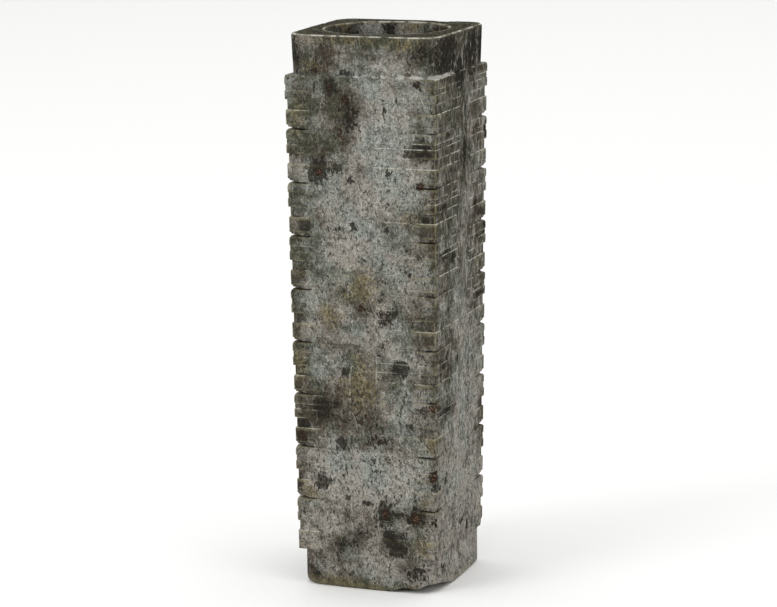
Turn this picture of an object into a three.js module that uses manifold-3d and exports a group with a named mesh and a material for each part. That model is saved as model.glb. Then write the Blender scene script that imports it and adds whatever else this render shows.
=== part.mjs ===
import * as THREE from 'three';
import { mergeVertices } from 'three/addons/utils/BufferGeometryUtils.js';
import Module from 'manifold-3d';

// A tall jade cong of nine tiers: a square tapering block carved with a simplified mask
// across each corner of each tier, a rounded collar at each end, and a bore drilled
// through from both ends. Millimetres, +Z up, the underside on z = 0, the axis on x = y = 0.
// The front face looks along -Y. One stone, so one solid.

// Driving sizes of the block, the collars and the bore
const blockWidthTop = 70;
const blockWidthBottom = 65.3;
const tierCount = 9;
const tierHeight = 23.6;
const topCollarHeight = 17.8;
const baseCollarHeight = 16.5;
const topCollarCornerRadius = 9;
const baseCollarCornerRadius = 9.5;
const collarStep = 0.05;
const collarFlare = 0.55;
const collarBulge = 0.4;
const rimWear = 0.7;
const footWear = 2.8;
const topWall = 7;
const baseWall = 6.2;
const waistNarrowing = 2.4;
const drillingStep = 0.6;
const mouthWear = 1.2;

// The plain channel down the middle of each face
const channelWidth = 13;
const channelDepth = 0.5;
const channelShift = { right: 4.3, back: 0, left: 0, front: -0.5 };

// The mask on each corner of a tier, with its heights as shares of the tier from the top
const upperBandEnd = 0.18;
const lowerBandStart = 0.28;
const lowerBandEnd = 0.455;
const noseTop = 0.64;
const noseEnd = 0.92;
const bandGapDepth = 0.3;
const recessDepthAtCorner = 0.85;
const recessDepthAtChannel = 0.25;
const noseLength = 11.5;
const noseDrop = 0.2;
const sawReach = 10.5;
const sawFloorHeight = 0.5;
const sawAboveTier = 1.7;
const sawBelowTier = 0.6;

// How finely the round stretches are divided
const boreSides = 48;
const collarCurveSteps = 7;
const footRoundSteps = 3;
const chipSides = 10;
const chipRings = 7;

// Reach of the cutting shapes past the faces that they cut, and of one cut into the next
const past = 3;
const seam = 0.4;

// Levels and widths that follow from the driving sizes
const blockHeight = tierCount * tierHeight;
const blockFoot = baseCollarHeight;
const blockHead = blockFoot + blockHeight;
const totalHeight = blockHead + topCollarHeight;
const half = blockWidthTop / 2;
const topCollarHalf = half - channelDepth - collarStep;
const baseCollarHalf = blockWidthBottom / 2 - channelDepth - collarStep;
const boreTopRadius = topCollarHalf + collarFlare - topWall;
const boreBaseRadius = baseCollarHalf - baseWall;
const boreWaistRadius = boreBaseRadius - waistNarrowing;
const quarterTurn = Math.PI / 2;
const faceNames = ['right', 'back', 'left', 'front'];

const jade = new THREE.MeshStandardMaterial({ color: 0x6b6f60, roughness: 0.42, metalness: 0 });

const wasm = await Module();
wasm.setup();

function toSolid(geometry) {
  geometry.deleteAttribute('normal');
  geometry.deleteAttribute('uv');
  const merged = mergeVertices(geometry, 1e-4);
  return new wasm.Manifold(new wasm.Mesh({
    numProp: 3,
    vertProperties: new Float32Array(merged.attributes.position.array),
    triVerts: new Uint32Array(merged.index.array),
  }));
}

function toGeometry(solid) {
  const mesh = solid.getMesh();
  const geometry = new THREE.BufferGeometry();
  geometry.setAttribute('position', new THREE.BufferAttribute(mesh.vertProperties, 3));
  geometry.setIndex(new THREE.BufferAttribute(mesh.triVerts, 1));
  return geometry;
}

// Moves each vertex of a geometry by a rule on its position
function reshape(geometry, rule) {
  const position = geometry.attributes.position;
  const point = new THREE.Vector3();
  for (let i = 0; i < position.count; i += 1) {
    point.fromBufferAttribute(position, i);
    rule(point);
    position.setXYZ(i, point.x, point.y, point.z);
  }
  return geometry;
}

function box(x0, x1, y0, y1, z0, z1) {
  const geometry = new THREE.BoxGeometry(x1 - x0, y1 - y0, z1 - z0);
  return geometry.translate((x0 + x1) / 2, (y0 + y1) / 2, (z0 + z1) / 2);
}

// An upright prism on a plan outline, between two levels
function prism(points, z0, z1) {
  const shape = new THREE.Shape(points.map(([x, y]) => new THREE.Vector2(x, y)));
  const geometry = new THREE.ExtrudeGeometry(shape, { depth: z1 - z0, bevelEnabled: false });
  return geometry.translate(0, 0, z0);
}

// The face at a corner's own +X side and the one at its +Y side, counted anticlockwise
function channelEdges(corner) {
  const onXFace = channelShift[faceNames[corner]] + channelWidth / 2;
  const onYFace = channelWidth / 2 - channelShift[faceNames[(corner + 1) % 4]];
  return { onXFace, onYFace };
}

// A sunk strip that wraps the corner from one channel to the next
function wrappedStrip(edges, depthAtChannel, depthAtCorner, z0, z1) {
  return prism([
    [edges.onYFace, half - depthAtChannel],
    [half - depthAtCorner, half - depthAtCorner],
    [half - depthAtChannel, edges.onXFace],
    [half + past, edges.onXFace],
    [half + past, half + past],
    [edges.onYFace, half + past],
  ], z0, z1);
}

// The solid that the sunk ground leaves standing as the nose, with room to spare outside
function noseBlock(z0, z1) {
  const start = half - noseLength;
  const end = half + 2 * past;
  return prism([[start, start], [end, start], [end, end], [start, end]], z0, z1);
}

// The saw cut that parts two tiers, straight across the corner
function sawCut(level) {
  const cornerReach = half * Math.SQRT2;
  const floor = cornerReach - sawReach / Math.SQRT2;
  const mouth = cornerReach + past;
  const slope = past / (cornerReach - floor);
  const topRise = (sawAboveTier - sawFloorHeight) * slope;
  const bottomFall = sawBelowTier * slope;
  const outline = new THREE.Shape([
    new THREE.Vector2(floor, level),
    new THREE.Vector2(mouth, level - sawBelowTier - bottomFall),
    new THREE.Vector2(mouth, level + sawAboveTier + topRise),
    new THREE.Vector2(floor, level + sawFloorHeight),
  ]);
  const width = sawReach * Math.SQRT2 + 2 * past;
  const geometry = new THREE.ExtrudeGeometry(outline, { depth: width, bevelEnabled: false });
  geometry.translate(0, 0, -width / 2);
  const outwards = new THREE.Vector3(Math.SQRT1_2, Math.SQRT1_2, 0);
  const up = new THREE.Vector3(0, 0, 1);
  const across = new THREE.Vector3().crossVectors(outwards, up);
  return geometry.applyMatrix4(new THREE.Matrix4().makeBasis(outwards, up, across));
}

// Everything that is cut away on one corner of one tier
function tierCuts(corner, tier) {
  const edges = channelEdges(corner);
  const top = blockHead - tier * tierHeight;
  const level = (share) => top - share * tierHeight;
  const isLast = tier === tierCount - 1;
  const groundEnd = isLast ? level(1) - past : level(1);
  const noseFoot = isLast ? groundEnd - past : level(noseEnd);
  const bandGap = wrappedStrip(edges, 0, bandGapDepth, level(lowerBandStart), level(upperBandEnd));
  const ground = wrappedStrip(edges, recessDepthAtChannel, recessDepthAtCorner,
    groundEnd, level(lowerBandEnd));
  const noseFace = half - noseLength - seam;
  const noseSkim = wrappedStrip({ onXFace: noseFace, onYFace: noseFace }, noseDrop, noseDrop,
    noseFoot - seam, level(noseTop) + seam);
  const turned = (geometry) => toSolid(geometry.rotateZ(corner * quarterTurn));
  const cuts = [
    turned(bandGap),
    turned(ground).subtract(turned(noseBlock(noseFoot, level(noseTop)))),
    turned(noseSkim),
  ];
  if (!isLast) {
    cuts.push(turned(sawCut(level(1))));
  }
  return cuts;
}

// The length of a face's channel that one tier holds
function channelCut(face, tier) {
  const middle = channelShift[faceNames[face]];
  const top = blockHead - tier * tierHeight + (tier === 0 ? past : seam);
  const foot = blockHead - (tier + 1) * tierHeight - (tier === tierCount - 1 ? past : 0);
  const cut = box(half - channelDepth, half + past,
    middle - channelWidth / 2, middle + channelWidth / 2, foot, top);
  return toSolid(cut.rotateZ(face * quarterTurn));
}

// The carved block, cut while straight and then tapered towards its foot
function carvedBlock() {
  let block = toSolid(box(-half, half, -half, half, blockFoot, blockHead));
  for (let corner = 0; corner < 4; corner += 1) {
    for (let tier = 0; tier < tierCount; tier += 1) {
      for (const cut of [channelCut(corner, tier), ...tierCuts(corner, tier)]) {
        block = block.subtract(cut);
      }
    }
  }
  return toSolid(reshape(toGeometry(block), (point) => {
    const width = THREE.MathUtils.mapLinear(
      point.z, blockFoot, blockHead, blockWidthBottom, blockWidthTop);
    point.x *= width / blockWidthTop;
    point.y *= width / blockWidthTop;
  }));
}

// A square outline with round corners and faintly bulged sides
function collarOutline(reach, cornerRadius) {
  const straight = reach - cornerRadius;
  const shoulder = reach - collarBulge;
  const shape = new THREE.Shape();
  shape.moveTo(shoulder, -straight);
  for (let corner = 0; corner < 4; corner += 1) {
    const turn = new THREE.Vector2();
    const place = (x, y) => turn.set(x, y).rotateAround(new THREE.Vector2(), corner * quarterTurn);
    const middle = place(reach + collarBulge, 0).clone();
    const end = place(shoulder, straight).clone();
    shape.quadraticCurveTo(middle.x, middle.y, end.x, end.y);
    const centre = place(shoulder - cornerRadius + collarBulge, straight).clone();
    const start = corner * quarterTurn;
    const radius = cornerRadius - collarBulge;
    shape.absarc(centre.x, centre.y, radius, start, start + quarterTurn, false);
  }
  return shape;
}

function collar(reach, cornerRadius, z0, z1, wear, wearSteps) {
  const geometry = new THREE.ExtrudeGeometry(collarOutline(reach, cornerRadius), {
    depth: z1 - z0 - 2 * wear,
    curveSegments: collarCurveSteps,
    bevelThickness: wear,
    bevelSize: wear,
    bevelOffset: -wear,
    bevelSegments: wearSteps,
  });
  return geometry.translate(0, 0, z0 + wear);
}

function topCollar() {
  const sunk = rimWear + past;
  const geometry = collar(topCollarHalf, topCollarCornerRadius,
    blockHead - sunk, totalHeight, rimWear, 1);
  return toSolid(reshape(geometry, (point) => {
    const rise = Math.max(0, (point.z - blockHead) / topCollarHeight);
    const reach = 1 + (rise * collarFlare) / topCollarHalf;
    point.x *= reach;
    point.y *= reach;
  }));
}

function baseCollar() {
  const sunk = footWear + past;
  return toSolid(collar(baseCollarHalf, baseCollarCornerRadius,
    0, blockFoot + sunk, footWear, footRoundSteps));
}

// Two tapering bores that meet inside with a small step, and worn mouths
function bore() {
  const meeting = blockFoot + blockHeight / 2;
  const profile = [
    [0, -past],
    [boreBaseRadius + mouthWear, -past],
    [boreBaseRadius + mouthWear, 0],
    [boreBaseRadius, mouthWear],
    [boreWaistRadius + drillingStep, meeting],
    [boreWaistRadius, meeting],
    [boreTopRadius - mouthWear, totalHeight - topCollarHeight],
    [boreTopRadius - mouthWear / 2, totalHeight - mouthWear],
    [boreTopRadius, totalHeight],
    [boreTopRadius, totalHeight + past],
    [0, totalHeight + past],
  ].map(([radius, level]) => new THREE.Vector2(radius, level));
  const geometry = new THREE.LatheGeometry(profile, boreSides);
  return toSolid(geometry.rotateX(quarterTurn));
}

// A shallow flake knocked off an edge: centre, half-sizes, and a turn about Z and about X
function chip(centre, halfSizes, turnZ, turnX) {
  const geometry = new THREE.SphereGeometry(1, chipSides, chipRings);
  geometry.scale(...halfSizes);
  geometry.rotateX(turnX);
  geometry.rotateZ(turnZ);
  return toSolid(geometry.translate(...centre));
}

// Old losses that the stone shows, placed from the edges that they break
function losses() {
  const rim = topCollarHalf + collarFlare;
  const foot = baseCollarHalf;
  const cornerInset = baseCollarCornerRadius / 3;
  const blockFootHalf = blockWidthBottom / 2;
  return [
    // the front right corner of the foot, broken back
    chip([foot - cornerInset + 1.6, -foot + cornerInset - 1.2, -0.9], [12, 5.5, 5.6], 0.8, 0.1),
    // a long shallow flake under the front of the foot, right of the middle
    chip([foot * 0.5, -foot, -1.3], [9, 3, 3.7], 0.05, 0.12),
    // the back rim, right of the middle
    chip([foot * 0.42, rim, totalHeight + 0.43], [6, 2.6, 1.6], -0.06, 0.15),
    // a notch in the rim at the back left
    chip([-rim, rim * 0.35, totalHeight + 0.33], [1.6, 2.4, 1.4], 0.1, 0.2),
    // the lowest corner of the block at the back right, worn to a slope
    chip([blockFootHalf + 1.2, blockFootHalf + 1.2, blockFoot - 0.63], [6, 4, 4.5], -0.75, 0.1),
  ];
}

function congGeometry() {
  let stone = carvedBlock().add(topCollar()).add(baseCollar()).subtract(bore());
  for (const loss of losses()) {
    stone = stone.subtract(loss);
  }
  const geometry = toGeometry(stone).toNonIndexed();
  geometry.computeVertexNormals();
  return geometry;
}

const group = new THREE.Group();
const cong = new THREE.Mesh(congGeometry(), jade);
cong.name = 'cong';
group.add(cong);

export default group;
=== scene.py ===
"""The looks of the tall jade cong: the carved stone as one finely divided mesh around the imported
frame, its weathered and stained surface, a pale floor, soft lights and the camera."""

import math
import random
from types import SimpleNamespace

import bmesh
import bpy
import numpy as np
from mathutils import Matrix, Vector, noise


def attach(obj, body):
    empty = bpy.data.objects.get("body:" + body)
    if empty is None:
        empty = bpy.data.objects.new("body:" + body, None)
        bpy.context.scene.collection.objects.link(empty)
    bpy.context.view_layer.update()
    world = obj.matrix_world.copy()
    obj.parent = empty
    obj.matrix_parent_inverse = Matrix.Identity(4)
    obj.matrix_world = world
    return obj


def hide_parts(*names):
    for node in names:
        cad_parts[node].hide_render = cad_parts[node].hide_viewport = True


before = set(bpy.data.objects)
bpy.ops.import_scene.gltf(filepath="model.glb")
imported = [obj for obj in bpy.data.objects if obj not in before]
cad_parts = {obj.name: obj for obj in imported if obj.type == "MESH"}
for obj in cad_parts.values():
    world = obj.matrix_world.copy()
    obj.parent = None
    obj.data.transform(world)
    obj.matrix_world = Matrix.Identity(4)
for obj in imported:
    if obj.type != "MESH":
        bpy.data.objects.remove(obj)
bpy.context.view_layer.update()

MM = 0.001

# The stone's sizes in millimetres, as in the solid. The front face looks along -Y.
HALF = 35.0
HALF_AT_FOOT = 32.65
TIERS = 9
TIER = 23.6
BLOCK_FOOT = 16.5
BLOCK_HEAD = BLOCK_FOOT + TIERS * TIER
TOTAL = BLOCK_HEAD + 17.8
CHANNEL_HALF = 6.5
CHANNEL_DEPTH = 0.5
# How far the channel lies from the middle of each face
CHANNEL_SHIFT = {"right": 4.3, "back": 0.0, "left": 0.0, "front": -0.5}

# The collars. Their corner radii are listed back right, back left, front left, front right.
TOP_COLLAR_HALF = 34.45
TOP_COLLAR_CORNERS = (7.8, 8.0, 10.5, 9.0)
BASE_COLLAR_HALF = 32.1
BASE_COLLAR_CORNERS = (7.3, 9.5, 9.5, 9.5)
BASE_LEAN = 0.4
COLLAR_FLARE = 0.55
COLLAR_BULGE = 0.4

# How close counts as the same place, how far above a joint still counts with the tier below
# it, and the least width of a face, all in millimetres; and how close points merge, in metres
NEAR = 1e-3
JOINT_REACH = 1e-2
LEAST_WIDTH = 1e-6
MERGED = 1e-6

# The rings that close the block, in their order. The top collar's are given by their level
# above the block, and those of its edge by the drop below the top, the inset and the wear.
TOP_COLLAR_LEVELS = (0, 0.4, 2.0, 4.4, 6.8, 9.2, 11.6, 14.0, 15.8)
TOP_EDGE = ((1.0, 0.02, 0.2), (0.6, 0.08, 0.4), (0.25, 0.22, 0.7), (0.07, 0.45, 0.8),
            (0, 0.85, 0.7))
# The flat rim runs from its inset to its inner radius, in shares of that way
RIM_INSET = 0.95
RIM_INNER = 27.7
RIM_SHARES = (0.12, 0.3, 0.5, 0.7, 0.88)
# The bore, by depth below the top and radius. It was drilled from both ends and meets in a step.
BORE = ((0, RIM_INNER), (0.08, 27.45), (0.3, 27.25), (1.2, 27.15), (3, 27.1), (6, 27.05),
        (10, 27.0), (14, 26.9), (18, 26.8), (25, 26.55), (34, 26.2), (46, 25.8), (62, 25.2),
        (80, 24.6), (100, 24.0), (124, 23.5), (124, 24.1), (150, 24.5), (185, 25.05),
        (215, 25.5), (236, 25.8), (245.5, 25.9), (246.2, 26.3), (246.6, 26.8))
BORE_WEAR = 0.12
# The underside runs out from its inner radius, its edge turns up in degrees, and the base
# collar rises by levels above the floor
FOOT_INNER = 27.1
FOOT_SHARES = (1, 0.75, 0.5, 0.25, 0)
FOOT_TURNS = (18, 36, 54, 72, 90)
FOOT_EDGE_WEAR = 0.12
BASE_COLLAR_LEVELS = (5.2, 6.2, 7.4, 8.8, 10.6, 12.6, 14.6, 16.1, 16.5)
COLLAR_WEAR = 0.1
JOINED_WEAR = 0.02

# How far the foot's edge is worn round and how high its broken edge lies, by the angle from
# the right side in degrees. The break falls towards the inside by its slope.
FOOT_WEAR = ((-180, 2.0), (-135, 2.8), (-112, 1.6), (-90, 1.2), (-70, 1.0), (-45, 0.6), (0, 0.8),
             (45, 1.4), (90, 1.6), (135, 2.0), (180, 2.0))
FOOT_BREAK = ((-71, 0), (-69.5, 0.5), (-66, 1.7), (-62, 2.4), (-58, 2.6), (-54, 2.2), (-51.5, 2.8),
              (-49, 4.1), (-45, 4.5), (-40, 4.4), (-35, 3.9), (-28, 2.4), (-20, 1.3), (-14, 0.6),
              (-7, 0))
BREAK_SLOPE = 0.35

# Where the block is cut into columns: distances from a corner along a face, and places
# across the middle of the front and back faces and of the right and left ones
FROM_CORNER = (0.35, 0.85, 1.5, 2.4, 3.5, 4.8, 6.2, 7.7, 9.2, 10.5, 11.2, 11.5, 11.85, 12.8,
               14.1, 15.4, 16.6, 17.8, 19.0, 20.2, 21.4, 22.6)
ACROSS_FRONT = (-11.0, -9.4, -8.0, -7.2, -6.85, -6.4, -5.0, -3.3, -1.6, 0.0, 1.6, 3.3, 4.8,
                5.8, 6.15, 6.55, 8.0, 9.4, 11.0)
ACROSS_RIGHT = (-11.0, -9.5, -8.0, -6.65, -6.35, -5.0, -3.6, -2.4, -2.0, -0.6, 1.0, 2.6, 4.2,
                5.4, 6.35, 6.65, 8.0, 9.4, 10.6, 11.0)

# Where a tier is cut into rows, in millimetres below its top
TIER_ROWS = (0.25, 0.7, 1.6, 2.9, 4.05, 4.25, 4.45, 5.5, 6.4, 6.61, 6.85, 8.1, 9.4, 10.5, 10.74,
             11.0, 12.4, 13.8, 14.9, 15.1, 15.4, 16.8, 18.2, 19.5, 20.1, 20.3, 20.5, 21.3, 21.7,
             22.0, 22.5, 23.1, 23.4)

# Half-way down a tier: rows above this belong to the joint above, the others to the one below
MID_TIER = 12.0

# Profiles of a tier as pairs: the drop below its top, and a depth or a share there
BAND_DEPTH = ((0, 0.22), (0.25, 0.09), (0.7, 0.02), (1.6, 0), (4.05, 0.04), (4.25, 0.38),
              (4.45, 0.3), (5.5, 0.27), (6.4, 0.3), (6.61, 0.38), (6.85, 0.04), (8.1, 0),
              (10.5, 0.06), (10.74, 0.25), (11.0, 0.0))
GROUND_SHARE = ((10.5, 0), (10.74, 0.75), (11.0, 1), (23.6, 1))
NOSE_SHARE = ((14.9, 0), (15.1, 0.7), (15.4, 1), (21.3, 1), (21.7, 0.75), (22.0, 0))
LAST_NOSE_SHARE = ((14.9, 0), (15.1, 0.7), (15.4, 1))
NOSE_LINE = ((20.1, 0), (20.3, 0.22), (20.5, 0))
NOSE_ACROSS = ((11.2, 1), (11.5, 0.7), (11.85, 0))
GROUND_AT_CHANNEL = 0.12
GROUND_AT_CORNER = 0.85
RELIEF_AT_CHANNEL = 0.3
NOSE_DEPTH = 0.2
# The saw cuts between tiers, as their reach across a corner, and the lips worn beside them
SAW_REACH = 10.5
SAW_ABOVE = ((22.0, 0), (22.5, 1.2), (23.1, 6), (23.4, SAW_REACH), (23.6, SAW_REACH))
SAW_BELOW = ((0, SAW_REACH), (0.25, 3), (0.7, 0))
NARROW_SAW_ABOVE = ((23.1, 0), (23.4, SAW_REACH), (23.6, SAW_REACH))
NARROW_SAW_BELOW = ((0, SAW_REACH), (0.25, 0.8), (0.7, 0))
LIP_ABOVE = ((20.5, 0), (21.3, 0.5), (21.7, 1.3))
LIP_BELOW = ((0, 2.2), (0.25, 2.0), (0.7, 1.6), (1.6, 0.7), (2.9, 0.15), (4.05, 0))
# How far the rows are rubbed bright with a painted highlight, filled with chalk, and darkened with
# painted shade in the saw cuts
RUBBED_AND_HIGHLIT_ROWS = ((0, 1), (0.25, 0.7), (0.7, 0.25), (1.6, 0), (2.9, 0), (4.05, 0.4), (4.25, 0),
               (6.61, 0), (6.85, 0.4), (8.1, 0), (9.4, 0), (10.5, 0.6), (10.74, 0), (14.9, 0),
               (15.1, 0.9), (15.4, 0.8), (16.8, 0.1), (20.5, 0), (21.3, 0.4), (21.7, 0.5),
               (22.0, 0))
CHALKY_ROWS = ((0, 0.8), (0.25, 0.2), (0.7, 0), (4.05, 0.2), (4.25, 0.9), (4.45, 0.2), (5.5, 0),
               (6.4, 0.2), (6.61, 0.9), (6.85, 0.15), (8.1, 0), (10.5, 0.15), (10.74, 1),
               (11.0, 0.3), (12.4, 0), (14.9, 0.15), (15.1, 1), (15.4, 0.2), (16.8, 0), (20.1, 0.1),
               (20.3, 0.5), (20.5, 0))
CUT_SHADE_ROWS = ((0, 0.7), (0.25, 0.1), (0.7, 0), (21.7, 0), (22.0, 0.35), (22.5, 0.8), (23.1, 1),
              (23.4, 1), (23.6, 1))
# How close the rows are to a joint, for the painted shade that lies along it on the faces
JOINT_ROWS = ((0, 1), (0.25, 0.3), (0.7, 0), (22.5, 0), (23.1, 0.5), (23.4, 1), (23.6, 1))
# How much pale residue the lines of a panel keep, tier by tier from the top
CHALK = {
    "front left": (0.5, 0.5, 0.4, 0.6, 0.5, 0.6, 0.7, 0.5, 0.6),
    "front right": (0.25, 1, 0.6, 0.45, 0.55, 0.6, 0.4, 0.5, 0.4),
    "right left": (0.9, 1, 1, 0.9, 0.8, 0.7, 0.65, 0.65, 0.5),
    "right right": (1, 0.9, 0.9, 0.9, 0.9, 0.65, 0.6, 0.55, 0.45),
}
CHALK_ELSEWHERE = 0.55
# How deep the saw went at the front right corner, as a share, joint by joint from the top
NARROW_SAW_SHARE = (0, 0.5, 1, 0.85, 0.5, 0.7, 0.5, 0.9, 0.8, 0)
# How dark the painted shade along the joint below each tier is on the front's right panel
JOINT_SHADE = (0.6, 0.5, 0.6, 0.3, 0.6, 0.4, 0.9, 1, 0)
JOINT_SHADE_ELSEWHERE = 0.3
# How far the joints sag towards the front right corner, by tiers down from the top
JOINT_SAG = ((0, 0), (4, 0.2), (5, 0.8), (6, 0.4), (7, 1.6), (8, 2.3), (9, 0))
# Wear and rounding of the four corners, by the sides of X and Y that they are on, and how much
# rounder the front right one gets from the third tier to the last
CORNER_WEAR = {(-1, -1): 1.0, (1, -1): 0.45, (-1, 1): 0.75, (1, 1): 0.7}
CORNER_RADIUS = {(-1, -1): 0.8, (1, -1): 0.6, (-1, 1): 0.8, (1, 1): 0.6}
WORN_LOW_DOWN = 1.2
# How far from a corner its edge draws in with the carving beside it
DRAWN_IN = 8.0
# The stone's unevenness: the periods of its three ripples, the depth that they swing about,
# how deep each one goes, and the depth of the nicks in rubbed edges
RIPPLES = (17, 5, 2.1)
SKIN = 0.05
RIPPLE_DEPTHS = (0.05, 0.035, 0.02)
NICK_DEPTH = 0.3

# The eyes, round marks on each side of the nose, and the distance that stands for no eye
EYE_FROM_CORNER = 19.8
EYE_DROP = 17.6
EYE_RADIUS = 3.6
EYE_SLOPE = 0.6
EYE_RISE = 0.12
NO_EYE = 12.0

# How bright the corners are rubbed, with a painted highlight along each corner's edge, and over
# what width
CORNER_RUB_AND_HIGHLIGHT = 1.1
CORNER_RUB_AND_HIGHLIGHT_WIDTH = 0.95
# The pale line along a channel's edges, a painted highlight, on the side faces, and on the front
# and back faces of the first three tiers and of the others
EDGE_LINE_WIDTH = 0.4
EDGE_LINE_SIDES = 0.15
EDGE_LINE_HIGH = 0.4
EDGE_LINE_LOW = 0.65
# How pale the front's ledge under the collar is painted, a painted highlight, by the place across,
# and the other ledges
LEDGE_HIGHLIGHT = ((-4, 0.4), (-2, 0.95), (8, 1), (16, 1.4))
LEDGE_HIGHLIGHT_ELSEWHERE = 0.4
# How rubbed and how chalky the collars' edges are; the rims' chalk is painted highlight and their
# rubbing partly so
OUTER_RIM_RUB_AND_HIGHLIGHT = 0.6
INNER_RIM_RUB_AND_HIGHLIGHT = 0.9
FOOT_RUB = 0.6
OUTER_RIM_HIGHLIGHT = 0.85
INNER_RIM_HIGHLIGHT = 0.5
# How streaky the left side is and the right of the top collar, beside 1 on the right face
STREAKY_LEFT = 0.45
STREAKY_COLLAR = 1.5

# Edges sharper than this many degrees stay sharp
CREASE = 42

# The studio, in metres. The camera's angles are azimuth, dip and a slight roll in degrees, its
# lens is in millimetres, and a light is its place, its aim, its width, height and power.
CAMERA_PLACE = (0.4579, -1.2444, 0.3883)
CAMERA_ANGLES = (20.215, 11.3, -0.58)
CAMERA_SHIFT = (-0.00045, 0.00065)
SENSOR_WIDTH = 36
LENS = 140.5
FARTHEST = 30
FLOOR_SIZE = 16
FLOOR_COLOUR = (0.9, 0.9, 0.89, 1)
FLOOR_ROUGHNESS = 0.9
LIGHTS = {
    "key": ((-0.9, -1.3, 1.0), (0, 0, 0.12), 0.8, 0.8, 10.5),
    "fill": ((1.5, -0.6, 0.5), (0, 0, 0.12), 0.8, 1.0, 4.4),
    "above": ((0, 1.2, 3.2), (0, 1.2, 0), 8, 8, 205),
}
ROOM_LIGHT = 0.4


def curve(pairs, values):
    """Reads a profile given as pairs at each of the values."""
    places, heights = zip(*pairs)
    return np.interp(values, places, heights)


def smooth_step(low, high, values):
    share = np.clip((values - low) / (high - low), 0, 1)
    return share * share * (3 - 2 * share)


def read_points(mesh):
    """A mesh's vertices in millimetres."""
    points = np.zeros(len(mesh.vertices) * 3, np.float32)
    mesh.vertices.foreach_get("co", points)
    return points.reshape(-1, 3).astype(float) / MM


def write_points(mesh, points):
    mesh.vertices.foreach_set("co", (points * MM).astype(np.float32).ravel())
    mesh.update()


def write_mark(mesh, name, values):
    """Keeps one number for each vertex, for the material to read."""
    mark = mesh.attributes.get(name) or mesh.attributes.new(name, "FLOAT", "POINT")
    mark.data.foreach_set("value", np.asarray(values, np.float32))


def ripple(points, period, offset):
    """Smooth noise from -1 to 1 at each point, for a period in millimetres."""
    shift = Vector((offset, 1.7 * offset, -0.6 * offset))
    return np.array([noise.noise(Vector(point) / period + shift) for point in points])


def half_width(level):
    """Half the block's width at a level."""
    return HALF_AT_FOOT + (HALF - HALF_AT_FOOT) * (level - BLOCK_FOOT) / (BLOCK_HEAD - BLOCK_FOOT)


def select_edges(stone, chosen):
    """In edit mode, selects just the edges whose two ends pass the test on a point."""
    shape = bmesh.from_edit_mesh(stone.data)
    for edge in shape.edges:
        edge.select_set(False)
    for edge in shape.edges:
        if all(chosen(end.co) for end in edge.verts):
            edge.select_set(True)
    bmesh.update_edit_mesh(stone.data)


def slice_all(place, normal):
    """In edit mode, cuts the whole mesh along a plane and keeps both sides."""
    bpy.ops.mesh.select_all(action="SELECT")
    bpy.ops.mesh.bisect(plane_co=place, plane_no=normal, threshold=1e-7)


def divided_tier():
    """One tier as an open square tube, divided into columns and rows."""
    bpy.ops.object.select_all(action="DESELECT")
    bpy.ops.mesh.primitive_cube_add(
        size=1, location=(0, 0, (BLOCK_HEAD - TIER / 2) * MM),
        scale=(2 * HALF * MM, 2 * HALF * MM, TIER * MM))
    stone = bpy.context.object
    stone.name = "stone"
    bpy.ops.object.transform_apply(location=True, rotation=True, scale=True)
    bpy.ops.object.mode_set(mode="EDIT")
    bpy.ops.mesh.select_mode(type="FACE")
    shape = bmesh.from_edit_mesh(stone.data)
    for face in shape.faces:
        face.select_set(abs(face.normal.z) > 0.5)
    bpy.ops.mesh.delete(type="FACE")
    near_corners = [side * (HALF - gap) for gap in FROM_CORNER for side in (-1, 1)]
    for place in sorted([*near_corners, *ACROSS_FRONT]):
        slice_all((place * MM, 0, 0), (1, 0, 0))
    for place in sorted([*near_corners, *ACROSS_RIGHT]):
        slice_all((0, place * MM, 0), (0, 1, 0))
    for drop in TIER_ROWS:
        slice_all((0, 0, (BLOCK_HEAD - drop) * MM), (0, 0, 1))
    bpy.ops.object.mode_set(mode="OBJECT")
    return stone


def stack_tiers(stone):
    tiers = stone.modifiers.new("tiers", "ARRAY")
    tiers.count = TIERS
    tiers.use_relative_offset = False
    tiers.use_constant_offset = True
    tiers.constant_offset_displace = (0, 0, -TIER * MM)
    tiers.use_merge_vertices = True
    tiers.merge_threshold = MERGED
    bpy.ops.object.modifier_apply(modifier=tiers.name)


def measure(points):
    """Where each point of the uncarved block lies. The places x, y and z are views, so they
    move with the points."""
    at = SimpleNamespace()
    at.x, at.y, at.z = points.T
    at.side_x, at.side_y = np.where(at.x < 0, -1, 1), np.where(at.y < 0, -1, 1)
    at.on_x, at.on_y = np.abs(at.x) > HALF - NEAR, np.abs(at.y) > HALF - NEAR
    at.front_right_corner = (at.side_x > 0) & (at.side_y < 0)
    # The gap from the nearest corner, and how far inside a panel the point is
    at.gap = HALF - np.where(at.on_x, np.abs(at.y), np.abs(at.x))
    side_shift = np.where(at.x > 0, CHANNEL_SHIFT["right"], -CHANNEL_SHIFT["left"])
    other_shift = np.where(at.y > 0, -CHANNEL_SHIFT["back"], CHANNEL_SHIFT["front"])
    at.shift = np.where(at.on_x, side_shift, other_shift)
    at.panel = np.abs(np.where(at.on_x, at.y, at.x) - at.shift) - CHANNEL_HALF
    at.in_panel = smooth_step(-0.2, 0.3, at.panel)
    # The tier, counted from the top, and the drop below its top
    at.tier = np.clip(np.floor((BLOCK_HEAD - at.z + JOINT_REACH) / TIER), 0, TIERS - 1).astype(int)
    at.first, at.last = at.tier == 0, at.tier == TIERS - 1
    at.drop = np.clip(BLOCK_HEAD - at.z - at.tier * TIER, 0, TIER)
    at.from_eye = np.hypot(at.gap - EYE_FROM_CORNER, at.drop - EYE_DROP)
    at.coarse, at.medium, at.fine = (ripple(points, period, period) for period in RIPPLES)
    return at


def by_corner(at, values):
    """Each point's value, from those of the four corners."""
    return sum(np.where((at.side_x == side_x) & (at.side_y == side_y), value, 0)
               for (side_x, side_y), value in values.items())


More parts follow.
